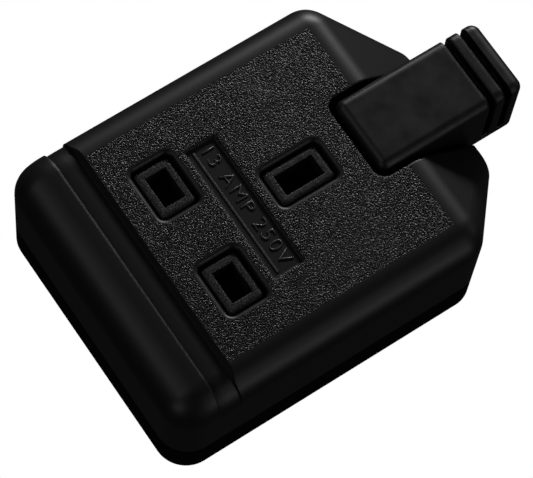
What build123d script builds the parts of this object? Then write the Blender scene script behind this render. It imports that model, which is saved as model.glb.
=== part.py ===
"""A heavy-duty trailing socket with one three-pin outlet, in millimetres.

+Z is up, +X runs towards the cord and +Y towards the neutral aperture.
The origin is on the underside, below the midpoint of the line and neutral apertures.
"""
from build123d import *
import os

# Standard pin layout and the pins that go in
pin_spacing = 22.23
pin_thickness = 3.97
live_pin_width = 6.35
earth_pin_width = 7.92
live_pin_length = 17.7
earth_pin_length = 22.73
aperture_clearance = 0.25
live_pin_gap = 0.95
earth_pin_gap = 0.27

# Clearances between pieces
fit_gap = 0.1
slide_gap = 0.3
pocket_gap = 0.3
hole_gap = 0.3
thread_gap = 0.05
tip_room = 1.0

# Screws and threaded inserts
screw_radius = 1.45
screw_head_radius = 2.6
screw_head_height = 2.0
head_chamfer = 0.5
recess_slot = 0.8
recess_depth = 1.0
counterbore_depth = 3.0
housing_screw_length = 11.0
terminal_screw_length = 3.4
block_screw_length = 9.0
clamp_screw_length = 10.0
insert_radius = 2.2
insert_length = 6.0
boss_wall = 1.9
near_boss_room = 1.0
far_boss_sink = 0.5
far_boss_room = 4.4

# Contacts, backing clips, terminals and the block that holds them
strip = 0.7
clip_strip = 0.4
live_clip_width = 4.5
earth_clip_width = 6.9
contact_pinch = 1.75
contact_mouth = 2.6
contact_half_gap = 2.75
mouth_depth = 3.3
knee_rise = 1.3
block_wall = 1.4
block_roof = 1.2
block_ear_height = 4.0
pillar_radius = 2.3
pillar_length = 6.0
block_screw_y = 10.0
tab_width = 5.5
earth_tab_width = 3.2
earth_tab_gap = 0.65
terminal_size = 7.0
terminal_offset = 10.0
earth_terminal_gap = 3.2
terminal_room = 1.3
wire_radius = 1.9
wire_height = 4.2

# Socket insert and shutter
plate_thickness = 2.5
skirt = 1.8
shutter_thickness = 2.9
shutter_travel = 5.0
shutter_overlap = 0.4
tongue_width = 7.8
ramp_length = 4.6
spring_wire = 0.32
spring_radius = 1.0
spring_room = 7.8
spring_turns = 5

# Windows in the deck and the bosses that show in them
live_boss_length = 7.8
live_boss_width = 10.6
earth_boss_length = 12.0
earth_boss_width = 7.7
boss_radius = 0.9
boss_edge_radius = 0.8
boss_sink = 0.8
window_gap = 0.4
window_edge_radius = 0.9

# Housing walls, corners and seam
near_length = 23.6
seam_height = 8.0
wall = 2.5
deck_thickness = 3.0
floor_thickness = 2.5
end_wall = 1.7
top_radius = 6.0
crown_run = 8.55
crown_radius = 12.0
corner_extra = 0.3
tip_radius = 3.0
underside_radius = 0.2
seam_chamfer = 0.25
lip_height = 2.0
lip_thickness = 1.5

# Sloping bow, finger groove and recessed panel
side_past_notch = 8.85
bow_run = 14.45
bow_drop = 11.0
bow_skin = 2.0
tip_width = 29.7
groove_start = 9.3
groove_width = 5.35
groove_depth = 1.1
groove_slope = 0.9
groove_crown_run = 11.2
panel_start = 6.6
panel_length = 6.75
panel_width = 29.9
panel_depth = 0.6

# Cord guard, its notch and the clamp behind it
cord_radius = 3.8
neck_wall = 1.1
notch_width = 18.8
notch_radius = 2.6
guard_end_gap = 1.1
guard_side_gap = 1.2
guard_length = 32.7
guard_height = 16.1
guard_proud = 1.2
guard_edge_radius = 1.9
guard_foot_radius = 0.6
guard_spine = 2.0
end_rib = 2.9
rib_groove_spacing = 3.6
rib_groove_width = 1.6
rib_groove_depth = 2.2
core_path = 3.8
grip_length = 1.9
clamp_width = 4.4
clamp_thickness = 4.5
clamp_overhang = 2.6
clamp_post_radius = 2.2
clamp_post_drop = 3.0

# How far a cutting tool reaches past the surface that it cuts
tool_reach = 5.0
wall_fade = 0.2

# Heights, from the floor up to the deck that an earth pin needs, and back down through the works
deck_height = (floor_thickness + pocket_gap + clip_strip + fit_gap + strip
               + earth_pin_gap + earth_pin_length)
deck_underside = deck_height - deck_thickness
plate_underside = deck_underside - plate_thickness
shutter_top = plate_underside - slide_gap
shutter_bottom = shutter_top - shutter_thickness
shutter_middle = (shutter_top + shutter_bottom) / 2
block_top = shutter_bottom - slide_gap
boss_top = deck_height - boss_sink
contact_top = block_top - block_roof - pocket_gap
pinch_height = contact_top - mouth_depth
tab_height = deck_height - live_pin_length - live_pin_gap - strip / 2
earth_base = deck_height - earth_pin_length - earth_pin_gap - strip / 2
clip_drop = strip / 2 + fit_gap + clip_strip / 2
block_bottom = tab_height - clip_drop - clip_strip / 2 - pocket_gap
terminal_bottom = tab_height + strip / 2
pillar_bottom = block_top - pillar_length
ear_bottom = pillar_bottom - block_ear_height
neck_radius = cord_radius + neck_wall
cord_axis_height = deck_underside - fit_gap - neck_radius
clamp_post_bottom = cord_axis_height - clamp_post_drop
clamp_bottom = clamp_post_bottom - clamp_thickness
guard_top = deck_height + guard_proud
guard_bottom = guard_top - guard_height
bow_pocket_top = deck_height - bow_drop - bow_skin

# Pin openings, and the shutter that covers two of them
half_pitch = pin_spacing / 2
live_places = [(0, half_pitch), (0, -half_pitch)]
earth_place = (pin_spacing, 0)
live_hole = (pin_thickness + 2 * aperture_clearance, live_pin_width + 2 * aperture_clearance)
earth_hole = (earth_pin_width + 2 * aperture_clearance, pin_thickness + 2 * aperture_clearance)
pad_half_length = live_hole[0] / 2 + shutter_overlap
pad_half_width = half_pitch + live_hole[1] / 2 + shutter_overlap
tongue_end = pin_spacing - earth_pin_width / 2 + shutter_travel - aperture_clearance

# Contacts, the pockets round them and their terminals
live_contact_width = live_pin_width
earth_contact_width = earth_pin_width - aperture_clearance
clip_half_gap = contact_half_gap + clip_drop
pocket_half = clip_half_gap + clip_strip / 2 + pocket_gap
block_half = pocket_half + block_wall
live_block_half = half_pitch + live_contact_width / 2 + pocket_gap + block_wall
earth_block_half = earth_contact_width / 2 + pocket_gap + block_wall
earth_tab_rise = block_half + earth_tab_gap + strip / 2
earth_terminal_y = block_half + earth_terminal_gap + terminal_size / 2
live_terminal_y = half_pitch + terminal_offset
terminal_places = [(0, live_terminal_y), (0, -live_terminal_y), (pin_spacing, earth_terminal_y)]

# Places along the socket, from the insert out to the cord's end
insert_end = pin_spacing + earth_boss_length / 2 + window_gap
insert_rear = -(pad_half_length + spring_room)
block_end = pin_spacing + earth_block_half
clamp_x = block_end + fit_gap + clamp_width / 2
cavity_end = clamp_x + clamp_width / 2 + fit_gap
neck_start = cavity_end - grip_length
notch_start = cavity_end + end_wall
guard_start = notch_start + guard_end_gap
guard_end = guard_start + guard_length
side_length = notch_start + side_past_notch
bow_length = side_length + bow_run
bow_slope = bow_drop / bow_run

# Widths: the housing goes round the terminals, the guard goes in its notch
half_width = live_terminal_y + terminal_size / 2 + terminal_room + lip_thickness + fit_gap + wall
corner_radius = top_radius + corner_extra
guard_width = notch_width - 2 * guard_side_gap

# Screw places
screw_hole_radius = screw_radius + hole_gap
thread_radius = screw_radius + thread_gap
boss_outer_radius = insert_radius + boss_wall
crown_start = near_length - crown_run
groove_crown_start = near_length - groove_crown_run
near_screw_x = -near_length + wall + boss_outer_radius + near_boss_room
near_screw_y = half_width - wall - boss_outer_radius - near_boss_room
far_screw_x = notch_start + boss_outer_radius - far_boss_sink
far_screw_y = notch_width / 2 + wall + boss_outer_radius + far_boss_room
block_screw_x = insert_rear - skirt / 2
clamp_screw_y = tongue_width / 2 + slide_gap + skirt + core_path + clamp_post_radius
near_screws = [(near_screw_x, near_screw_y), (near_screw_x, -near_screw_y)]
far_screws = [(far_screw_x, far_screw_y), (far_screw_x, -far_screw_y)]
block_screw_places = [(block_screw_x, block_screw_y), (block_screw_x, -block_screw_y)]
clamp_screw_places = [(clamp_x, clamp_screw_y), (clamp_x, -clamp_screw_y)]


def sharp_plan():
    """The housing's outline from above: straight sides, a blunt bow and rounded near corners."""
    with BuildSketch() as plan:
        with BuildLine():
            Polyline(
                (-near_length, -half_width),
                (side_length, -half_width),
                (bow_length, -tip_width / 2),
                (bow_length, tip_width / 2),
                (side_length, half_width),
                (-near_length, half_width),
                close=True,
            )
        make_face()
        fillet(plan.vertices().group_by(Axis.X)[0], corner_radius)
    return plan.sketch


def housing_plan(inset=0.0):
    """The same outline with the bow's corners rounded too, drawn in by an inset."""
    with BuildSketch() as plan:
        add(sharp_plan())
        fillet(plan.vertices().group_by(Axis.X)[-2], top_radius)
        fillet(plan.vertices().group_by(Axis.X)[-1], tip_radius)
        if inset:
            offset(amount=-inset)
    return plan.sketch


def room_plan(inset):
    """The room between the side walls, from the near end to the cord's end wall, drawn in by an inset."""
    length = cavity_end + near_length - wall
    with BuildSketch() as plan:
        with Locations((cavity_end - length / 2, 0)):
            RectangleRounded(length - 2 * inset, 2 * (half_width - wall - inset), corner_radius - wall)
    return plan.sketch


def bow_pocket_plan():
    """The hollows on both sides of the cord notch, with the far screw bosses left standing in them."""
    with BuildSketch() as plan:
        add(housing_plan(wall))
        Rectangle(2 * notch_start, 4 * half_width, mode=Mode.SUBTRACT)
        with Locations((bow_length, 0)):
            Rectangle(bow_length, notch_width + 2 * wall, mode=Mode.SUBTRACT)
        with Locations(far_screws):
            Circle(boss_outer_radius, mode=Mode.SUBTRACT)
    return plan.sketch


def rounded_housing(top, crown):
    """The outline raised from the seam, crowned at the near end, sloped at the bow and rounded."""
    with BuildPart() as block:
        with BuildSketch(Plane.XY.offset(seam_height)):
            add(sharp_plan())
        extrude(amount=top - seam_height)
        with BuildSketch(Plane.XZ):
            with Locations((-crown - crown_radius / 2, top)):
                Rectangle(crown_radius, 2 * crown_radius)
            with Locations((-crown, top - crown_radius)):
                Circle(crown_radius, mode=Mode.SUBTRACT)
            with BuildLine():
                Polyline(
                    (side_length, top),
                    (bow_length + tool_reach, top - bow_drop - tool_reach * bow_slope),
                    (bow_length + tool_reach, top + tool_reach),
                    (side_length, top + tool_reach),
                    close=True,
                )
            make_face()
        extrude(amount=2 * half_width, both=True, mode=Mode.SUBTRACT)
        flat = block.faces().filter_by(Axis.Z).sort_by(Axis.Z)[-1]
        crowned = block.faces().filter_by(GeomType.CYLINDER).sort_by(Axis.Z)[-1]
        sloped = block.faces().filter_by(lambda face: 0.1 < face.normal_at().Z < 0.99).sort_by(Axis.X)[-1]
        flanks = sloped.edges().filter_by(Axis.Y, reverse=True)
        shoulders = block.edges().filter_by(Axis.Z).group_by(Axis.X)[-2]
        rim = flat.edges() + crowned.edges() + flanks + shoulders
        fillet([edge for edge in rim if abs(edge.center().X + crown) > fit_gap], top_radius)
        tip_posts = block.edges().filter_by(Axis.Z).group_by(Axis.X)[-1]
        tip_edges = block.edges().filter_by(Axis.Y).group_by(Axis.X)[-1].sort_by(Axis.Z)[-1:]
        fillet(tip_posts + tip_edges, tip_radius)
    return block.part


def rounds(places, radius, bottom, top):
    """Upright round bars of one radius between two heights."""
    with BuildPart() as bars:
        with BuildSketch(Plane.XY.offset(bottom)):
            with Locations(places):
                Circle(radius)
        extrude(amount=top - bottom)
    return bars.part


def pan_head_screws(places, seat, length):
    """Cross-slot screws driven upwards, one at each place, with their heads below the seat."""
    with BuildPart() as screws:
        add(rounds(places, screw_radius, seat, seat + length))
        add(rounds(places, screw_head_radius, seat - screw_head_height, seat))
        chamfer(screws.edges().group_by(Axis.Z)[0], head_chamfer)
        with BuildSketch(Plane.XY.offset(seat - screw_head_height)):
            with Locations(places):
                Rectangle(2 * screw_radius, recess_slot)
                Rectangle(recess_slot, 2 * screw_radius)
        extrude(amount=recess_depth, mode=Mode.SUBTRACT)
    return screws


def tee_plan(margin, stem_end):
    """The T shape of the shutter's room, grown by a margin, with its stem running to a given X."""
    rear = insert_rear - margin
    front = pad_half_length + slide_gap + margin
    stem_half = tongue_width / 2 + slide_gap + margin
    with BuildSketch() as plan:
        with Locations(((rear + front) / 2, 0)):
            Rectangle(front - rear, 2 * (pad_half_width + slide_gap + margin))
        with Locations((stem_end / 2, 0)):
            Rectangle(stem_end, 2 * stem_half)
    return plan.sketch


def pin_holes():
    """The three pin openings from above: line and neutral side by side, earth ahead of them."""
    with BuildSketch() as plan:
        with Locations(live_places):
            Rectangle(*live_hole)
        with Locations(earth_place):
            Rectangle(*earth_hole)
    return plan.sketch


def boss_plan(gap):
    """The three bosses round the pin openings, grown by a gap on every side."""
    with BuildSketch() as plan:
        with Locations(live_places):
            RectangleRounded(live_boss_length + 2 * gap, live_boss_width + 2 * gap, boss_radius + gap)
        with Locations(earth_place):
            RectangleRounded(earth_boss_length + 2 * gap, earth_boss_width + 2 * gap, boss_radius + gap)
    return plan.sketch


def contact_fold(base):
    """The folded strip of a contact as points across it: up one leaf's mouth, round the base and up again."""
    leaf = [
        (contact_mouth, contact_top),
        (contact_pinch, pinch_height),
        (contact_half_gap, base + knee_rise),
        (contact_half_gap, base),
    ]
    return leaf + [(-across, height) for across, height in reversed(leaf)]


def clip_fold(base):
    """The steel clip behind a contact: the same fold, one clearance further out and short of the pinch."""
    low = base - clip_drop
    rise = pinch_height - base - knee_rise
    lean = (contact_half_gap - contact_pinch) / rise
    arm_top = pinch_height - clip_drop
    arm = [
        (clip_half_gap - lean * (arm_top - base - knee_rise), arm_top),
        (clip_half_gap, base + knee_rise),
        (clip_half_gap, low),
    ]
    return arm + [(-across, height) for across, height in reversed(arm)]


def live_plane(side):
    """The plane across a line or neutral contact, with its X along the socket and its Y upwards."""
    return Plane(origin=(0, side * half_pitch, 0), x_dir=(1, 0, 0), z_dir=(0, -1, 0))


earth_plane = Plane(origin=(pin_spacing, 0, 0), x_dir=(0, 1, 0), z_dir=(1, 0, 0))


def folded_strip(plane, points, thickness, width):
    """A strip of sheet metal bent along points drawn on a plane, as wide as given across it."""
    with BuildPart() as band:
        with BuildSketch(plane):
            with BuildLine():
                Polyline(*points)
            trace(line_width=thickness)
        extrude(amount=width / 2, both=True)
    return band


def live_contact(side):
    """A line or neutral contact: two sprung leaves and a tab that runs out under its terminal."""
    tab_start = half_pitch
    tab_end = live_terminal_y + terminal_size / 2
    with BuildPart() as contact:
        add(folded_strip(live_plane(side), contact_fold(tab_height), strip, live_contact_width).part)
        with BuildSketch(Plane.XY.offset(tab_height - strip / 2)):
            with Locations((0, side * (tab_start + tab_end) / 2)):
                Rectangle(tab_width, tab_end - tab_start)
            with Locations((0, side * live_terminal_y)):
                Circle(screw_hole_radius, mode=Mode.SUBTRACT)
        extrude(amount=strip)
    return contact


def terminal(place):
    """A brass pillar terminal: a block with a wire hole along X and a screw hole from below."""
    with BuildPart() as block:
        with BuildSketch(Plane.XY.offset(terminal_bottom)):
            with Locations(place):
                Rectangle(terminal_size, terminal_size)
                Circle(thread_radius, mode=Mode.SUBTRACT)
        extrude(amount=wire_height)
        with BuildSketch(Plane.XY.offset(terminal_bottom + wire_height)):
            with Locations(place):
                Rectangle(terminal_size, terminal_size)
        extrude(amount=terminal_size - wire_height)
        with BuildSketch(Plane.YZ.offset(place[0])):
            with Locations((place[1], terminal_bottom + wire_height)):
                Circle(wire_radius)
        extrude(amount=terminal_size, both=True, mode=Mode.SUBTRACT)
    return block


# Top cover: a moulded shell with the deck, windows, recessed panel, finger groove and cord notch
groove_floor = deck_height - groove_depth
rounded_top = rounded_housing(deck_height, crown_start)
lowered_top = rounded_housing(groove_floor, groove_crown_start)
groove_low = groove_floor - top_radius + wall_fade

with BuildPart() as groove_tool:
    with BuildSketch(Plane.XZ):
        with BuildLine():
            Polyline(
                (-groove_start - groove_width, groove_low),
                (-groove_start - groove_width, deck_height + tool_reach),
                (-groove_start + groove_slope * tool_reach / groove_depth, deck_height + tool_reach),
                (-groove_start - groove_slope, groove_floor),
                (-groove_start - groove_slope, groove_low),
                close=True,
            )
        make_face()
    extrude(amount=2 * half_width, both=True)
    add(lowered_top, mode=Mode.SUBTRACT)

with BuildPart() as room_tool:
    with BuildSketch(Plane.XY.offset(seam_height)):
        add(room_plan(0))
    extrude(amount=deck_underside - seam_height)
    chamfer(room_tool.faces().sort_by(Axis.Z)[-1].edges(), top_radius - wall)

with BuildPart() as notch_tool:
    notch_length = bow_length - notch_start + tool_reach
    with BuildSketch(Plane.XY.offset(seam_height)) as notch_plan:
        with Locations((notch_start + notch_length / 2, 0)):
            Rectangle(notch_length, notch_width)
        fillet(notch_plan.vertices().group_by(Axis.X)[0], notch_radius)
    extrude(amount=deck_height + tool_reach - seam_height)
    channel_start = neck_start - slide_gap
    channel_length = notch_start + notch_radius - channel_start
    with BuildSketch(Plane.XY.offset(seam_height)):
        with Locations((channel_start + channel_length / 2, 0)):
            Rectangle(channel_length, 2 * (neck_radius + slide_gap))
    extrude(amount=deck_underside - seam_height)

with BuildPart() as top_cover:
    add(rounded_top)
    chamfer(top_cover.faces().sort_by(Axis.Z)[0].edges(), seam_chamfer)
    add(groove_tool.part, mode=Mode.SUBTRACT)
    add(room_tool.part, mode=Mode.SUBTRACT)
    add(rounds(near_screws, boss_outer_radius, seam_height, deck_underside))
    add(rounds(clamp_screw_places, clamp_post_radius, clamp_post_bottom, deck_underside))
    with BuildSketch(Plane.XY.offset(seam_height)):
        add(bow_pocket_plan())
    extrude(amount=bow_pocket_top - seam_height, mode=Mode.SUBTRACT)
    add(notch_tool.part, mode=Mode.SUBTRACT)
    insert_hole_top = counterbore_depth + housing_screw_length + tip_room
    add(rounds(near_screws + far_screws, insert_radius + thread_gap, seam_height, insert_hole_top),
        mode=Mode.SUBTRACT)
    add(rounds(clamp_screw_places, screw_head_radius + fit_gap, seam_height, clamp_bottom),
        mode=Mode.SUBTRACT)
    post_hole_top = clamp_bottom + clamp_screw_length + tip_room
    add(rounds(clamp_screw_places, thread_radius, clamp_post_bottom, post_hole_top), mode=Mode.SUBTRACT)
    with BuildSketch(Plane.XY.offset(deck_underside)):
        add(boss_plan(window_gap))
    extrude(amount=deck_thickness, mode=Mode.SUBTRACT)
    deck = top_cover.faces().filter_by(Axis.Z).group_by(Axis.Z)[-1].sort_by(SortBy.AREA)[-1]
    fillet([edge for wire in deck.inner_wires() for edge in wire.edges()], window_edge_radius)
    with BuildSketch(Plane.XY.offset(deck_height)):
        with Locations((panel_start + panel_length / 2, 0)):
            Rectangle(panel_length, panel_width)
    extrude(amount=-panel_depth, mode=Mode.SUBTRACT)

# Base: a tray that closes the cover from below, with a locating lip and the cord guard's saddle
lip_outer = fit_gap
lip_inner = lip_outer + lip_thickness

with BuildPart() as base:
    with BuildSketch():
        add(housing_plan())
    extrude(amount=seam_height)
    fillet(base.faces().sort_by(Axis.Z)[0].edges(), underside_radius)
    chamfer(base.faces().sort_by(Axis.Z)[-1].edges(), seam_chamfer)
    with BuildSketch(Plane.XY.offset(seam_height)):
        add(room_plan(lip_outer))
    extrude(amount=lip_height)
    with BuildSketch(Plane.XY.offset(floor_thickness)):
        add(room_plan(lip_inner))
    extrude(amount=seam_height + lip_height - floor_thickness, mode=Mode.SUBTRACT)
    with BuildSketch(Plane.XY.offset(floor_thickness)):
        add(bow_pocket_plan())
    extrude(amount=seam_height - floor_thickness, mode=Mode.SUBTRACT)
    add(rounds(near_screws, boss_outer_radius + fit_gap, seam_height, seam_height + lip_height),
        mode=Mode.SUBTRACT)
    lip_end = clamp_x - screw_head_radius - slide_gap
    with BuildSketch(Plane.XY.offset(seam_height)):
        with Locations(((lip_end + notch_start) / 2, 0)):
            Rectangle(notch_start - lip_end, 2 * half_width)
    extrude(amount=lip_height, mode=Mode.SUBTRACT)
    add(rounds(near_screws, boss_outer_radius, floor_thickness, seam_height))
    saddle_start = notch_start + slide_gap
    nose_length = saddle_start + notch_radius - cavity_end
    with BuildSketch(Plane.XY.offset(seam_height)) as saddle:
        with Locations(((saddle_start + bow_length) / 2, 0)):
            Rectangle(bow_length - saddle_start, notch_width - 2 * slide_gap)
        fillet(saddle.vertices().group_by(Axis.X)[0], notch_radius)
        with Locations((cavity_end + nose_length / 2, 0)):
            Rectangle(nose_length, 2 * neck_radius)
    extrude(amount=guard_bottom - seam_height)
    add(rounds(near_screws + far_screws, screw_hole_radius, 0, seam_height), mode=Mode.SUBTRACT)
    add(rounds(near_screws + far_screws, screw_head_radius + hole_gap, 0, counterbore_depth),
        mode=Mode.SUBTRACT)

# Socket insert: the rigid moulding whose bosses show in the deck, with the shutter's room under its plate
with BuildPart() as socket_insert:
    with BuildSketch(Plane.XY.offset(block_top)):
        add(tee_plan(skirt, insert_end))
    extrude(amount=deck_underside - block_top)
    with BuildSketch(Plane.XY.offset(block_top)):
        add(tee_plan(0, insert_end - skirt))
    extrude(amount=plate_underside - block_top, mode=Mode.SUBTRACT)
    with BuildSketch(Plane.XY.offset(deck_underside)):
        add(boss_plan(0))
    extrude(amount=boss_top - deck_underside)
    boss_tops = socket_insert.faces().filter_by(Axis.Z).group_by(Axis.Z)[-1]
    fillet(boss_tops.edges(), boss_edge_radius)
    add(rounds(block_screw_places, pillar_radius, pillar_bottom, deck_underside))
    with BuildSketch(Plane.XY.offset(plate_underside)):
        add(pin_holes())
    extrude(amount=boss_top - plate_underside, mode=Mode.SUBTRACT)
    pillar_hole_top = ear_bottom + block_screw_length + tip_room
    add(rounds(block_screw_places, thread_radius, pillar_bottom, pillar_hole_top), mode=Mode.SUBTRACT)

# Shutter: a sprung slide that covers the line and neutral apertures until the earth pin drives it back
with BuildPart() as shutter:
    with BuildSketch(Plane.XY.offset(shutter_bottom)):
        Rectangle(2 * pad_half_length, 2 * pad_half_width)
        with Locations((tongue_end / 2, 0)):
            Rectangle(tongue_end, tongue_width)
    extrude(amount=shutter_thickness)
    with BuildSketch(Plane.XZ):
        with BuildLine():
            Polyline(
                (tongue_end - ramp_length, shutter_top),
                (tongue_end, shutter_bottom),
                (tongue_end, shutter_top),
                close=True,
            )
        make_face()
    extrude(amount=tongue_width, both=True, mode=Mode.SUBTRACT)

# Shutter spring: a coil of thin wire behind the shutter
coil_length = spring_room - spring_wire
coil_start = insert_rear + spring_wire / 2

with BuildPart() as shutter_spring:
    with BuildLine() as coil:
        Helix(
            pitch=coil_length / spring_turns,
            height=coil_length,
            radius=spring_radius,
            center=(coil_start, 0, shutter_middle),
            direction=(1, 0, 0),
        )
    with BuildSketch(Plane(origin=coil.line @ 0, z_dir=coil.line % 0)):
        RegularPolygon(spring_wire / 2, 6)
    sweep()

# Contact block: the rear moulding with a pocket for each contact, screwed to the insert's pillars
with BuildPart() as contact_block:
    with BuildSketch(Plane.XY.offset(block_bottom)):
        Rectangle(2 * block_half, 2 * live_block_half)
        with Locations((block_end / 2, 0)):
            Rectangle(block_end, 2 * block_half)
    extrude(amount=block_top - block_bottom)
    with BuildSketch(Plane.XY.offset(floor_thickness)):
        with Locations(earth_place):
            Rectangle(2 * earth_block_half, 2 * block_half)
    extrude(amount=block_bottom - floor_thickness)
    with BuildSketch(Plane.XY.offset(ear_bottom)):
        with Locations([(x / 2, y) for x, y in block_screw_places]):
            Rectangle(-block_screw_x, 2 * pillar_radius)
        with Locations(block_screw_places):
            Circle(pillar_radius)
    extrude(amount=block_ear_height)
    with BuildSketch(Plane.XY.offset(block_bottom)):
        with Locations(live_places):
            Rectangle(2 * pocket_half, live_contact_width + 2 * pocket_gap)
    extrude(amount=block_top - block_roof - block_bottom, mode=Mode.SUBTRACT)
    with BuildSketch(Plane.XY.offset(floor_thickness)):
        with Locations(earth_place):
            Rectangle(earth_contact_width + 2 * pocket_gap, 2 * pocket_half)
    extrude(amount=block_top - block_roof - floor_thickness, mode=Mode.SUBTRACT)
    with BuildSketch(Plane.XY.offset(block_bottom)):
        add(pin_holes())
    extrude(amount=block_top - block_bottom, mode=Mode.SUBTRACT)
    with BuildSketch(Plane.XY.offset(block_bottom)):
        with Locations([(0, live_block_half), (0, -live_block_half)]):
            Rectangle(tab_width + 2 * fit_gap, 2 * (block_wall + pocket_gap))
    extrude(amount=terminal_bottom + fit_gap - block_bottom, mode=Mode.SUBTRACT)
    with BuildSketch(Plane.XY.offset(floor_thickness)):
        with Locations((pin_spacing, block_half)):
            Rectangle(earth_tab_width + 2 * fit_gap, 2 * (block_wall + pocket_gap))
    extrude(amount=earth_base + strip / 2 + fit_gap - floor_thickness, mode=Mode.SUBTRACT)
    add(rounds(block_screw_places, screw_hole_radius, ear_bottom, pillar_bottom), mode=Mode.SUBTRACT)

block_screws = pan_head_screws(block_screw_places, ear_bottom, block_screw_length)

# Contacts and their backing clips
line_contact = live_contact(-1)
neutral_contact = live_contact(1)
line_clip = folded_strip(live_plane(-1), clip_fold(tab_height), clip_strip, live_clip_width)
neutral_clip = folded_strip(live_plane(1), clip_fold(tab_height), clip_strip, live_clip_width)

with BuildPart() as earth_clip:
    add(folded_strip(earth_plane, clip_fold(earth_base), clip_strip, earth_clip_width).part)
    with BuildSketch(Plane.XY.offset(earth_base - strip / 2 - fit_gap)):
        with Locations((pin_spacing, clip_half_gap)):
            Rectangle(earth_tab_width + 2 * fit_gap, 2 * clip_strip)
    extrude(amount=strip + 2 * fit_gap, mode=Mode.SUBTRACT)

earth_tab = [(0, earth_base), (earth_tab_rise, earth_base), (earth_tab_rise, tab_height)]
earth_tab_start = earth_tab_rise - strip / 2
earth_tab_end = earth_terminal_y + terminal_size / 2

with BuildPart() as earth_contact:
    add(folded_strip(earth_plane, contact_fold(earth_base), strip, earth_contact_width).part)
    add(folded_strip(earth_plane, earth_tab, strip, earth_tab_width).part)
    with BuildSketch(Plane.XY.offset(tab_height - strip / 2)):
        with Locations((pin_spacing, (earth_tab_start + earth_tab_end) / 2)):
            Rectangle(tab_width, earth_tab_end - earth_tab_start)
        with Locations(terminal_places[2]):
            Circle(screw_hole_radius, mode=Mode.SUBTRACT)
    extrude(amount=strip)

# Terminals and their screws
neutral_terminal = terminal(terminal_places[0])
line_terminal = terminal(terminal_places[1])
earth_terminal = terminal(terminal_places[2])
terminal_screws = pan_head_screws(terminal_places, tab_height - strip / 2, terminal_screw_length)

# Cord guard: a flexible sleeve that drops into the notch, ribbed at its outer end, with a neck inside
last_groove = guard_end - end_rib - rib_groove_width
rib_grooves = [last_groove - rib_groove_spacing, last_groove]

with BuildPart() as cord_guard:
    with BuildSketch(Plane.XY.offset(guard_bottom)):
        with Locations(((guard_start + guard_end) / 2, 0)):
            Rectangle(guard_length, guard_width)
    extrude(amount=guard_height)
    fillet(cord_guard.edges().sort_by(Axis.Z)[4:], guard_edge_radius)
    fillet(cord_guard.faces().sort_by(Axis.Z)[0].edges(), guard_foot_radius)
    for groove in rib_grooves:
        with BuildSketch(Plane.YZ.offset(groove)):
            with Locations((0, guard_bottom + guard_spine + guard_height)):
                Rectangle(2 * guard_width, 2 * guard_height)
            with Locations((0, guard_top - rib_groove_depth - guard_height / 2)):
                RectangleRounded(
                    guard_width - 2 * rib_groove_depth,
                    guard_height,
                    guard_edge_radius,
                    mode=Mode.SUBTRACT,
                )
        extrude(amount=rib_groove_width, mode=Mode.SUBTRACT)
    with BuildSketch(Plane.YZ.offset(neck_start)):
        with Locations((0, cord_axis_height)):
            Circle(neck_radius)
    extrude(amount=guard_start + guard_edge_radius - neck_start)
    with BuildSketch(Plane.YZ.offset(neck_start)):
        with Locations((0, cord_axis_height)):
            Circle(cord_radius)
    extrude(amount=guard_end - neck_start, mode=Mode.SUBTRACT)

# Cord clamp: a bar screwed up to two posts in the cover, cradling the guard's neck
with BuildPart() as cord_clamp:
    with BuildSketch(Plane.XY.offset(clamp_bottom)):
        with Locations((clamp_x, 0)):
            RectangleRounded(clamp_width, 2 * (clamp_screw_y + clamp_overhang), clamp_width / 4)
    extrude(amount=clamp_thickness)
    with BuildSketch(Plane.YZ.offset(clamp_x)):
        with Locations((0, cord_axis_height)):
            Circle(neck_radius + fit_gap)
    extrude(amount=clamp_width, both=True, mode=Mode.SUBTRACT)
    add(rounds(clamp_screw_places, screw_hole_radius, clamp_bottom, clamp_post_bottom), mode=Mode.SUBTRACT)

clamp_screws = pan_head_screws(clamp_screw_places, clamp_bottom, clamp_screw_length)

# Housing screws and the brass inserts that they bite in
housing_screws = pan_head_screws(near_screws + far_screws, counterbore_depth, housing_screw_length)

with BuildPart() as housing_inserts:
    add(rounds(near_screws + far_screws, insert_radius, seam_height, seam_height + insert_length))
    add(rounds(near_screws + far_screws, thread_radius, seam_height, seam_height + insert_length),
        mode=Mode.SUBTRACT)

pieces = {
    "top_cover": top_cover,
    "base": base,
    "socket_insert": socket_insert,
    "contact_block": contact_block,
    "block_screws": block_screws,
    "shutter": shutter,
    "shutter_spring": shutter_spring,
    "line_contact": line_contact,
    "neutral_contact": neutral_contact,
    "earth_contact": earth_contact,
    "line_clip": line_clip,
    "neutral_clip": neutral_clip,
    "earth_clip": earth_clip,
    "line_terminal": line_terminal,
    "neutral_terminal": neutral_terminal,
    "earth_terminal": earth_terminal,
    "terminal_screws": terminal_screws,
    "cord_guard": cord_guard,
    "cord_clamp": cord_clamp,
    "clamp_screws": clamp_screws,
    "housing_screws": housing_screws,
    "housing_inserts": housing_inserts,
}

os.makedirs("parts", exist_ok=True)
for name, piece in pieces.items():
    piece.part.label = name
    export_step(piece.part, f"parts/{name}.step")
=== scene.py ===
import math

import bmesh
import bpy
from mathutils import Matrix, Vector


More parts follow.
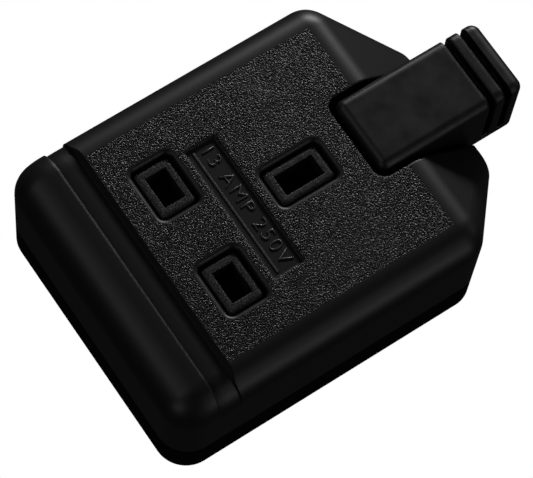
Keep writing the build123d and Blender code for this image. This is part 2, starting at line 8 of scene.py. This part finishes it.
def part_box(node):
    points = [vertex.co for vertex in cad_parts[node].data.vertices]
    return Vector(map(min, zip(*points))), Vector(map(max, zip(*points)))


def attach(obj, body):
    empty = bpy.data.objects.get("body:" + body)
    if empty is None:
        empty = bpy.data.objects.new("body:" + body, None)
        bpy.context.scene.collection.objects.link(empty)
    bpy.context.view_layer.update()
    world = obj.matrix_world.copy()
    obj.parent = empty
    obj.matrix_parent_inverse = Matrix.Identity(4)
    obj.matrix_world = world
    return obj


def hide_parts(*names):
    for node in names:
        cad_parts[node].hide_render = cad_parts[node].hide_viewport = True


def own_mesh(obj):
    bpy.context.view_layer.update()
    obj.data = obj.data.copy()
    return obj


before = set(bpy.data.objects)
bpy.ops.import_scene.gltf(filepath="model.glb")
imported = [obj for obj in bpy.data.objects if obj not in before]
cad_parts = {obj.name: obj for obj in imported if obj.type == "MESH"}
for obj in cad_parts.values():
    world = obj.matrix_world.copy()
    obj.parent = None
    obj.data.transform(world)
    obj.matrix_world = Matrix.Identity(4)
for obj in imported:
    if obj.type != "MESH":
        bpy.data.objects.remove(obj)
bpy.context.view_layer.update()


# Base.
# The tray that closes the socket from below, moulded in black polypropylene from a matt tool.
# It is coloured darker and reflects less than the cover, so its side shows as a black band under the seam:
# part its own black, part painted shade.
# Four screws go up through its underside.

MM = 0.001


def linear(hex_colour):
    """An sRGB hex colour as linear RGBA, which Blender's colour sockets take."""
    channels = [int(hex_colour[i : i + 2], 16) / 255 for i in (1, 3, 5)]
    return [c / 12.92 if c <= 0.04045 else ((c + 0.055) / 1.055) ** 2.4 for c in channels] + [1.0]


def add_node(tree, kind, inputs=None, **settings):
    """Adds one node: settings are its own properties, inputs are values or the sockets that feed it."""
    node = tree.nodes.new(kind)
    for name, value in settings.items():
        setattr(node, name, value)
    for name, value in (inputs or {}).items():
        if isinstance(value, bpy.types.NodeSocket):
            tree.links.new(value, node.inputs[name])
        else:
            node.inputs[name].default_value = value
    return node


def new_finish(name):
    """An empty node material and its tree."""
    material = bpy.data.materials.new(name)
    material.use_nodes = True
    material.node_tree.nodes.clear()
    return material, material.node_tree


def dress(material, *nodes):
    """Gives CAD nodes their finish."""
    for node in nodes:
        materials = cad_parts[node].data.materials
        materials.clear()
        materials.append(material)


# Near-black and faintly reflective: part the tray's own black, part painted shade under the seam.
base_black_and_painted_shade = "#040404"
base_speck = 0.35 * MM
base_relief = 0.01 * MM
base_edge = 0.2 * MM
base_dullness = {"To Min": 0.5, "To Max": 0.62}

# Most of a noise's values lie in this span.
noise_span = {"From Min": 0.3, "From Max": 0.7}

# Moulded polypropylene, matt: dull, with specks that only break up the reflections.
# The specks of a matt tool are finer, and are drawn as coarse as they need to be to show.
matt_moulding, tree = new_finish("matt_moulded_polypropylene")
place = add_node(tree, "ShaderNodeTexCoord").outputs["Object"]
edge = add_node(tree, "ShaderNodeBevel", {"Radius": base_edge}, samples=4)
speck = add_node(tree, "ShaderNodeTexNoise", {"Vector": place, "Scale": 1 / base_speck, "Detail": 2.0})
dullness = add_node(
    tree, "ShaderNodeMapRange", {"Value": speck.outputs["Fac"], **noise_span, **base_dullness}
)
relief = add_node(
    tree,
    "ShaderNodeBump",
    {
        "Height": speck.outputs["Fac"],
        "Distance": base_relief,
        "Strength": 0.5,
        "Normal": edge.outputs["Normal"],
    },
)
skin = add_node(
    tree,
    "ShaderNodeBsdfPrincipled",
    {
        "Base Color": linear(base_black_and_painted_shade),
        "Roughness": dullness.outputs["Result"],
        "IOR": 1.49,
        "Specular IOR Level": 0.05,
        "Normal": relief.outputs["Normal"],
    },
)
add_node(tree, "ShaderNodeOutputMaterial", {"Surface": skin.outputs["BSDF"]})

dress(matt_moulding, "base")


# Screws and brass inserts.
# Zinc-plated steel pan-head screws hold the housing, the contact block, the cord clamp and the wires.
# The housing screws bite in turned brass inserts that are pressed into the cover's posts.

zinc_colour = "#b9bbb8"
zinc_shade = "#8f9290"
zinc_bloom = 1.2 * MM
zinc_dullness = {"To Min": 0.24, "To Max": 0.38}

# A Mix node's sockets share their names, so they go by number.
mix_share = 0
first_colour = 6
second_colour = 7
mixed_colour = 2

# Bright zinc plate: pale grey metal with a faint cloudy bloom.
zinc_plate, tree = new_finish("bright_zinc_plate")
place = add_node(tree, "ShaderNodeTexCoord").outputs["Object"]
bloom = add_node(tree, "ShaderNodeTexNoise", {"Vector": place, "Scale": 1 / zinc_bloom, "Detail": 4.0})
tone = add_node(
    tree,
    "ShaderNodeMix",
    {mix_share: bloom.outputs["Fac"], first_colour: linear(zinc_colour), second_colour: linear(zinc_shade)},
    data_type="RGBA",
)
dullness = add_node(
    tree, "ShaderNodeMapRange", {"Value": bloom.outputs["Fac"], **noise_span, **zinc_dullness}
)
skin = add_node(
    tree,
    "ShaderNodeBsdfPrincipled",
    {"Base Color": tone.outputs[mixed_colour], "Metallic": 1.0, "Roughness": dullness.outputs["Result"]},
)
add_node(tree, "ShaderNodeOutputMaterial", {"Surface": skin.outputs["BSDF"]})

brass_colour = "#c79a4b"
brass_shade = "#8d6a30"
brass_stain = 1.6 * MM
brass_dullness = {"To Min": 0.28, "To Max": 0.42}

# Brass as stamped and turned: warm metal with slight stains and a half-bright mill surface.
mill_brass, tree = new_finish("mill_brass")
place = add_node(tree, "ShaderNodeTexCoord").outputs["Object"]
stain = add_node(tree, "ShaderNodeTexNoise", {"Vector": place, "Scale": 1 / brass_stain, "Detail": 5.0})
tone = add_node(
    tree,
    "ShaderNodeMix",
    {mix_share: stain.outputs["Fac"], first_colour: linear(brass_colour), second_colour: linear(brass_shade)},
    data_type="RGBA",
)
dullness = add_node(
    tree, "ShaderNodeMapRange", {"Value": stain.outputs["Fac"], **noise_span, **brass_dullness}
)
skin = add_node(
    tree,
    "ShaderNodeBsdfPrincipled",
    {"Base Color": tone.outputs[mixed_colour], "Metallic": 1.0, "Roughness": dullness.outputs["Result"]},
)
add_node(tree, "ShaderNodeOutputMaterial", {"Surface": skin.outputs["BSDF"]})

dress(zinc_plate, "housing_screws", "block_screws", "clamp_screws", "terminal_screws")
dress(mill_brass, "housing_inserts")


# Contacts, clips and terminals.
# Folded brass contacts, each backed by a folded steel clip, stand in the pockets of the contact block.
# Each ends in a brass pillar terminal for a wire.

dress(mill_brass, "line_contact", "neutral_contact", "earth_contact")
dress(mill_brass, "line_terminal", "neutral_terminal", "earth_terminal")
dress(zinc_plate, "line_clip", "neutral_clip", "earth_clip")


# Socket insert, contact block and cord clamp.
# Hard mouldings in black nylon. The insert's three bosses show in the windows and have a fine rough top;
# the block and the clamp bar are screwed down out of sight.

# The dark colour is painted shade in the grit's hollows, the light one painted sheen on its crests.
insert_painted_hollow_shade = "#030303"
insert_painted_crest_sheen = "#2a2a2a"
insert_grit = 0.28 * MM
insert_relief = 0.07 * MM
insert_edge = 0.4 * MM
grit_span = {"From Min": 0.25, "From Max": 0.75}

# Moulded nylon: satin black, roughened by a spark-eroded tool so that the grit shows on the boss tops.
# The grit's hollows are coloured darker and made less glossy than its crests: painted shade in the hollows,
# painted sheen on the crests.
# The real grit may be finer, and is drawn as coarse as it needs to be to show.
gritty_nylon, tree = new_finish("moulded_nylon")
place = add_node(tree, "ShaderNodeTexCoord").outputs["Object"]
edge = add_node(tree, "ShaderNodeBevel", {"Radius": insert_edge}, samples=4)
grit = add_node(
    tree, "ShaderNodeTexNoise", {"Vector": place, "Scale": 1 / insert_grit, "Detail": 3.0, "Roughness": 0.6}
)
relief = add_node(
    tree,
    "ShaderNodeBump",
    {"Height": grit.outputs["Fac"], "Distance": insert_relief, "Normal": edge.outputs["Normal"]},
)
# Painted light by height: the hollows darker and duller, the crests lighter and glossier.
painted_grit_light = add_node(tree, "ShaderNodeMapRange", {"Value": grit.outputs["Fac"], **grit_span})
tone = add_node(
    tree,
    "ShaderNodeMix",
    {
        mix_share: painted_grit_light.outputs["Result"],
        first_colour: linear(insert_painted_hollow_shade),
        second_colour: linear(insert_painted_crest_sheen),
    },
    data_type="RGBA",
)
skin = add_node(
    tree,
    "ShaderNodeBsdfPrincipled",
    {
        "Base Color": tone.outputs[mixed_colour],
        "Roughness": 0.42,
        "IOR": 1.53,
        "Specular IOR Level": painted_grit_light.outputs["Result"],
        "Normal": relief.outputs["Normal"],
    },
)
add_node(tree, "ShaderNodeOutputMaterial", {"Surface": skin.outputs["BSDF"]})

dress(gritty_nylon, "socket_insert", "contact_block", "cord_clamp")


# Shutter and its spring.
# A smooth slide of black acetal closes the line and neutral apertures, and a coil of spring wire behind it
# pushes it shut. In the socket the coil shortens as the slide goes back; here it stays at one length.

shutter_colour = "#020202"
shutter_flow = 3.0 * MM
shutter_dullness = {"To Min": 0.28, "To Max": 0.36}

# Moulded acetal: smooth and slightly waxy, with faint flow marks.
smooth_acetal, tree = new_finish("moulded_acetal")
place = add_node(tree, "ShaderNodeTexCoord").outputs["Object"]
flow = add_node(tree, "ShaderNodeTexNoise", {"Vector": place, "Scale": 1 / shutter_flow, "Detail": 2.0})
dullness = add_node(
    tree, "ShaderNodeMapRange", {"Value": flow.outputs["Fac"], **noise_span, **shutter_dullness}
)
skin = add_node(
    tree,
    "ShaderNodeBsdfPrincipled",
    {
        "Base Color": linear(shutter_colour),
        "Roughness": dullness.outputs["Result"],
        "IOR": 1.48,
        "Specular IOR Level": 0.15,
    },
)
add_node(tree, "ShaderNodeOutputMaterial", {"Surface": skin.outputs["BSDF"]})

dress(smooth_acetal, "shutter")


def add_piece(name, shape, material):
    """Makes a finished bmesh an object of the scene, in one material."""
    mesh = bpy.data.meshes.new(name)
    shape.to_mesh(mesh)
    shape.free()
    mesh.materials.append(material)
    piece = bpy.data.objects.new(name, mesh)
    bpy.context.scene.collection.objects.link(piece)
    return piece


weld_distance = 0.001 * MM
shape = bmesh.new()
shape.from_mesh(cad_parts["shutter_spring"].data)
bmesh.ops.remove_doubles(shape, verts=shape.verts, dist=weld_distance)
for face in shape.faces:
    face.smooth = True
shutter_coil = add_piece("shutter_coil", shape, zinc_plate)
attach(shutter_coil, "housing")
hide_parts("shutter_spring")
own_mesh(shutter_coil)


# Top cover.
# The boat-shaped upper shell, one moulding in black polypropylene. The tool was polished to a satin, and the
# deck alone was etched with a leathery grain that stops short of the windows' rims.

cover_colour = "#131313"
cover_dullness = 0.43
cover_edge = 0.7 * MM

# The finger groove has crisp edges, between these places along the cover.
groove_edge = 0.1 * MM
groove_middle = -11.0 * MM
groove_half = 2.0 * MM

# The grain's true width can't be read, so it is drawn as coarse as it needs to be to show.
grain_colour = "#070707"
grain_dullness = 0.36
grain_width = 0.27 * MM
grain_depth = 0.13 * MM
grain_border = 0.15 * MM
smooth_rise = 0.5
crest_span = {"From Min": 0.34, "From Max": 0.66}
# Less gloss in the grain's hollows than on its tops: painted shade.
painted_hollow_shade_gloss = {"To Min": 0.2, "To Max": 0.8}

# The grain is whole down to the first depth below the deck's top, and gone at the second.
deck_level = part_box("top_cover")[1][2]
whole_depth = 0.04 * MM
gone_depth = 0.08 * MM

# Round-cornered rectangles in the deck, each a centre, a half size and a corner radius.
# The line and neutral windows mirror each other, so one rectangle stands for both.
grain_patch = (Vector((15.6, 0, 0)) * MM, Vector((24.9, 23.95, 0)) * MM, 0.5 * MM)
pair_window = (Vector((0, 11.115, 0)) * MM, Vector((5.2, 6.6, 0)) * MM, 2.2 * MM)
earth_window = (Vector((22.23, 0, 0)) * MM, Vector((7.3, 5.15, 0)) * MM, 2.2 * MM)

# A Mix node of numbers has sockets of its own.
first_number = 2
second_number = 3
mixed_number = 0


def edge_distance(tree, place, rectangle):
    """How far a place lies outside a round-cornered rectangle in the deck, below zero inside it."""
    centre, half, corner = rectangle
    flat = Vector((1, 1, 0))
    straight = half - corner * flat
    off = add_node(tree, "ShaderNodeVectorMath", {0: place, 1: centre}, operation="SUBTRACT")
    off = add_node(tree, "ShaderNodeVectorMath", {0: off.outputs["Vector"]}, operation="ABSOLUTE")
    off = add_node(
        tree, "ShaderNodeVectorMath", {0: off.outputs["Vector"], 1: straight}, operation="SUBTRACT"
    )
    off = add_node(
        tree, "ShaderNodeVectorMath", {0: off.outputs["Vector"], 1: Vector((0, 0, 0))}, operation="MAXIMUM"
    )
    off = add_node(tree, "ShaderNodeVectorMath", {0: off.outputs["Vector"], 1: flat}, operation="MULTIPLY")
    off = add_node(tree, "ShaderNodeVectorMath", {0: off.outputs["Vector"]}, operation="LENGTH")
    return add_node(
        tree, "ShaderNodeMath", {0: off.outputs["Value"], 1: corner}, operation="SUBTRACT"
    ).outputs["Value"]


# Moulded polypropylene, satin: a dark even sheen with softly rounded edges, and on the deck a grain whose
# tops catch the light.
# The grain's hollows are made less glossy than its tops: painted shade in the hollows.
grained_moulding, tree = new_finish("satin_moulded_polypropylene")
place = add_node(tree, "ShaderNodeTexCoord").outputs["Object"]
folded = add_node(tree, "ShaderNodeVectorMath", {0: place}, operation="ABSOLUTE").outputs["Vector"]
along, _, height = add_node(tree, "ShaderNodeSeparateXYZ", {"Vector": place}).outputs
groove = add_node(
    tree, "ShaderNodeMath", {0: along, 1: groove_middle, 2: groove_half}, operation="COMPARE"
)
rounding = add_node(
    tree,
    "ShaderNodeMapRange",
    {"Value": groove.outputs["Value"], "To Min": cover_edge, "To Max": groove_edge},
)
edge = add_node(tree, "ShaderNodeBevel", {"Radius": rounding.outputs["Result"]}, samples=8)
level = add_node(
    tree,
    "ShaderNodeMapRange",
    {"Value": height, "From Min": deck_level - gone_depth, "From Max": deck_level - whole_depth},
)
inside = add_node(
    tree,
    "ShaderNodeMapRange",
    {"Value": edge_distance(tree, place, grain_patch), "From Min": 0.0, "From Max": -grain_border},
)
etched = add_node(
    tree, "ShaderNodeMath", {0: level.outputs["Result"], 1: inside.outputs["Result"]}, operation="MULTIPLY"
)
for window in (pair_window, earth_window):
    rim = add_node(
        tree,
        "ShaderNodeMapRange",
        {"Value": edge_distance(tree, folded, window), "From Min": 0.0, "From Max": grain_border},
    )
    etched = add_node(
        tree, "ShaderNodeMath", {0: etched.outputs["Value"], 1: rim.outputs["Result"]}, operation="MULTIPLY"
    )
grain = add_node(
    tree, "ShaderNodeTexNoise", {"Vector": place, "Scale": 1 / grain_width, "Detail": 0.0, "Distortion": 0.5}
)
rise = add_node(
    tree,
    "ShaderNodeMix",
    {mix_share: etched.outputs["Value"], first_number: smooth_rise, second_number: grain.outputs["Fac"]},
    data_type="FLOAT",
)
# Painted shade: the grain's hollows reflect less than its tops.
gloss_with_painted_hollow_shade = add_node(
    tree, "ShaderNodeMapRange", {"Value": rise.outputs[mixed_number], **crest_span, **painted_hollow_shade_gloss}
)
dullness = add_node(
    tree,
    "ShaderNodeMapRange",
    {"Value": etched.outputs["Value"], "To Min": cover_dullness, "To Max": grain_dullness},
)
relief = add_node(
    tree,
    "ShaderNodeBump",
    {"Height": rise.outputs[mixed_number], "Distance": grain_depth, "Normal": edge.outputs["Normal"]},
)
tone = add_node(
    tree,
    "ShaderNodeMix",
    {
        mix_share: etched.outputs["Value"],
        first_colour: linear(cover_colour),
        second_colour: linear(grain_colour),
    },
    data_type="RGBA",
)
skin = add_node(
    tree,
    "ShaderNodeBsdfPrincipled",
    {
        "Base Color": tone.outputs[mixed_colour],
        "Roughness": dullness.outputs["Result"],
        "IOR": 1.49,
        "Specular IOR Level": gloss_with_painted_hollow_shade.outputs["Result"],
        "Normal": relief.outputs["Normal"],
    },
)
add_node(tree, "ShaderNodeOutputMaterial", {"Surface": skin.outputs["BSDF"]})

dress(grained_moulding, "top_cover")


# Panel lettering and rule.
# Thin raised figures and a raised rule under them, moulded with the cover on the floor of its panel.
# The figures are the plain rating of the pin layout.

# The light grey is a painted highlight on the raised figures and rule.
panel_painted_highlight_colour = "#3c3c3c"
panel_flow = 2.0 * MM
panel_dullness = {"To Min": 0.31, "To Max": 0.37}
panel_edge = 0.1 * MM
panel_depth = 0.6 * MM
panel_floor = deck_level - panel_depth
capital_share = 0.7
letter_baseline = 9.4 * MM
letter_height = 2.75 * MM
letter_spacing = 1.15
letter_stretch = 1.1
letter_shift = 0.4 * MM
letter_turn = math.radians(-90)
letter_thinning = 0.15 * MM
letter_rise = 0.22 * MM
letter_root = 0.1 * MM
letter_round = 0.1 * MM
rule_x = 8.05 * MM
rule_width = 0.4 * MM
rule_half_length = 14.0 * MM
rule_round = 0.1 * MM

# The same polypropylene without grain and glossier, coloured lighter than the cover: a painted highlight on
# the raised figures and rule.
painted_highlight_moulding, tree = new_finish("plain_polypropylene_painted_highlight")
place = add_node(tree, "ShaderNodeTexCoord").outputs["Object"]
edge = add_node(tree, "ShaderNodeBevel", {"Radius": panel_edge}, samples=4)
flow = add_node(tree, "ShaderNodeTexNoise", {"Vector": place, "Scale": 1 / panel_flow, "Detail": 2.0})
dullness = add_node(
    tree, "ShaderNodeMapRange", {"Value": flow.outputs["Fac"], **noise_span, **panel_dullness}
)
skin = add_node(
    tree,
    "ShaderNodeBsdfPrincipled",
    {
        "Base Color": linear(panel_painted_highlight_colour),
        "Roughness": dullness.outputs["Result"],
        "IOR": 1.49,
        "Specular IOR Level": 1.0,
        "Normal": edge.outputs["Normal"],
    },
)
add_node(tree, "ShaderNodeOutputMaterial", {"Surface": skin.outputs["BSDF"]})

words = bpy.data.curves.new("panel_lettering", "FONT")
words.body = "13 AMP 250V"
words.align_x = "CENTER"
words.size = letter_height / capital_share
words.space_character = letter_spacing
words.extrude = (letter_rise + letter_root) / 2 - letter_round
words.bevel_depth = letter_round
words.bevel_resolution = 2
words.offset = -letter_thinning
flat_words = bpy.data.objects.new("flat_words", words)
mesh = bpy.data.meshes.new_from_object(flat_words)
bpy.data.objects.remove(flat_words)
mesh.name = "panel_lettering"
lettering_middle = panel_floor + (letter_rise - letter_root) / 2
lettering_place = Vector((letter_baseline, letter_shift, lettering_middle))
mesh.transform(Matrix.Diagonal((letter_stretch, 1, 1, 1)))
mesh.transform(Matrix.Translation(lettering_place) @ Matrix.Rotation(letter_turn, 4, "Z"))
mesh.materials.clear()
mesh.materials.append(painted_highlight_moulding)
panel_lettering = bpy.data.objects.new("panel_lettering", mesh)
bpy.context.scene.collection.objects.link(panel_lettering)
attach(panel_lettering, "housing")

shape = bmesh.new()
bmesh.ops.create_cube(shape, size=1.0)
bmesh.ops.scale(shape, vec=(rule_width, 2 * rule_half_length, letter_rise + letter_root), verts=shape.verts)
rule_middle = panel_floor - letter_root + (letter_rise + letter_root) / 2
bmesh.ops.translate(shape, vec=(rule_x, 0, rule_middle), verts=shape.verts)
top_edges = [e for e in shape.edges if all(v.co.z > rule_middle for v in e.verts)]
bmesh.ops.bevel(
    shape, geom=top_edges, offset=rule_round, affect="EDGES", segments=2, profile=0.5, material=-1
)
panel_rule = add_piece("panel_rule", shape, painted_highlight_moulding)
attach(panel_rule, "housing")


# Cord guard.
# A soft sleeve of black flexible PVC, held in the cover's notch by its neck, with grooves near its end
# that let it bend with the cord.

guard_colour = "#101010"
guard_speck = 0.25 * MM
guard_relief = 0.01 * MM
guard_cloud = 4.0 * MM
guard_dullness = {"To Min": 0.38, "To Max": 0.5}
guard_edge = 0.25 * MM

# The ribs' edges are softer than the sleeve's, between these places along the guard.
rib_edge = 0.9 * MM
rib_middle = 61.0 * MM
rib_half = 3.0 * MM

# Moulded flexible PVC: satin and faintly clouded, with specks that only break up the reflections.
# The real specks are finer, and are drawn as coarse as they need to be to show.
soft_moulding, tree = new_finish("moulded_flexible_pvc")
place = add_node(tree, "ShaderNodeTexCoord").outputs["Object"]
along, _, _ = add_node(tree, "ShaderNodeSeparateXYZ", {"Vector": place}).outputs
ribs = add_node(tree, "ShaderNodeMath", {0: along, 1: rib_middle, 2: rib_half}, operation="COMPARE")
rounding = add_node(
    tree,
    "ShaderNodeMapRange",
    {"Value": ribs.outputs["Value"], "To Min": guard_edge, "To Max": rib_edge},
)
edge = add_node(tree, "ShaderNodeBevel", {"Radius": rounding.outputs["Result"]}, samples=8)
speck = add_node(tree, "ShaderNodeTexNoise", {"Vector": place, "Scale": 1 / guard_speck, "Detail": 2.0})
relief = add_node(
    tree,
    "ShaderNodeBump",
    {
        "Height": speck.outputs["Fac"],
        "Distance": guard_relief,
        "Strength": 0.5,
        "Normal": edge.outputs["Normal"],
    },
)
cloud = add_node(tree, "ShaderNodeTexNoise", {"Vector": place, "Scale": 1 / guard_cloud, "Detail": 4.0})
dullness = add_node(
    tree, "ShaderNodeMapRange", {"Value": cloud.outputs["Fac"], **noise_span, **guard_dullness}
)
skin = add_node(
    tree,
    "ShaderNodeBsdfPrincipled",
    {
        "Base Color": linear(guard_colour),
        "Roughness": dullness.outputs["Result"],
        "IOR": 1.5,
        "Normal": relief.outputs["Normal"],
    },
)
add_node(tree, "ShaderNodeOutputMaterial", {"Surface": skin.outputs["BSDF"]})

dress(soft_moulding, "cord_guard")


# Studio.
# A floor and a backdrop of white paper that only the camera sees, so that the black mouldings reflect the
# lamps alone, a low strip light with dim soft boxes round it, and the camera at the photograph's angle.

scene = bpy.context.scene
scene.view_settings.view_transform = "Standard"

paper_colour = "#ffffff"
backdrop_radius = 4.0
floor_radius = 3.0
floor_gap = 0.05 * MM

# White paper, lit evenly: no shade or grain shows on it.
white_paper, tree = new_finish("white_paper")
glow = add_node(tree, "ShaderNodeEmission", {"Color": linear(paper_colour), "Strength": 1.0})
add_node(tree, "ShaderNodeOutputMaterial", {"Surface": glow.outputs["Emission"]})

shape = bmesh.new()
bmesh.ops.create_uvsphere(shape, u_segments=48, v_segments=24, radius=backdrop_radius)
paper_backdrop = add_piece("paper_backdrop", shape, white_paper)

shape = bmesh.new()
bmesh.ops.create_circle(shape, cap_ends=True, segments=48, radius=floor_radius)
bmesh.ops.translate(shape, vec=(0, 0, -floor_gap), verts=shape.verts)
paper_floor = add_piece("paper_floor", shape, white_paper)

for paper in (paper_backdrop, paper_floor):
    for rays in ("visible_diffuse", "visible_glossy", "visible_transmission", "visible_shadow"):
        setattr(paper, rays, False)

room_colour = "#ffffff"
room_light = 0.018
world = bpy.data.worlds.new("dim_room")
scene.world = world
world.use_nodes = True
background = world.node_tree.nodes["Background"]
background.inputs["Color"].default_value = linear(room_colour)
background.inputs["Strength"].default_value = room_light

# Each lamp: the way to it from the middle of the socket, its width and height in metres, and its power.
middle = Vector((15 * MM, 0, 20 * MM))
lamp_distance = 0.8
lamps = {
    "key_strip": ((0.66, 0.66, 0.36), 0.45, 0.06, 3.9),
    "top_box": ((-0.56, 0.29, 0.78), 0.3, 0.3, 0.31),
    "near_box": ((-0.86, -0.29, 0.42), 0.3, 0.3, 0.27),
    "right_box": ((0.26, -0.95, 0.17), 0.3, 0.3, 0.35),
    "upper_right_box": ((0.26, -0.75, 0.60), 0.3, 0.3, 0.17),
    "far_box": ((0.90, -0.30, 0.30), 0.3, 0.3, 0.12),
}
for name, (way, width, height, power) in lamps.items():
    lamp = bpy.data.lights.new(name, "AREA")
    lamp.shape = "RECTANGLE"
    lamp.size = width
    lamp.size_y = height
    lamp.energy = power
    lamp_object = bpy.data.objects.new(name, lamp)
    lamp_object.location = middle + Vector(way).normalized() * lamp_distance
    lamp_object.rotation_euler = Vector(way).to_track_quat("Z", "Y").to_euler()
    scene.collection.objects.link(lamp_object)

# The camera was fitted to the three apertures, the deck's edges and the outline in the photograph.
eye = Vector((-129.340, -160.437, 513.324)) * MM
right = Vector((0.82758507, -0.55796786, 0.06143949))
up = Vector((0.49576611, 0.77785359, 0.38621205))
photo_width = 533
focal_pixels = 2901.16
lens = bpy.data.cameras.new("camera")
lens.sensor_width = 36.0
lens.lens = focal_pixels / photo_width * lens.sensor_width
lens.clip_start = 0.02
lens.clip_end = 20.0
camera = bpy.data.objects.new("camera", lens)
camera.matrix_world = Matrix.Translation(eye) @ Matrix((right, up, right.cross(up))).transposed().to_4x4()
scene.collection.objects.link(camera)
scene.camera = camera
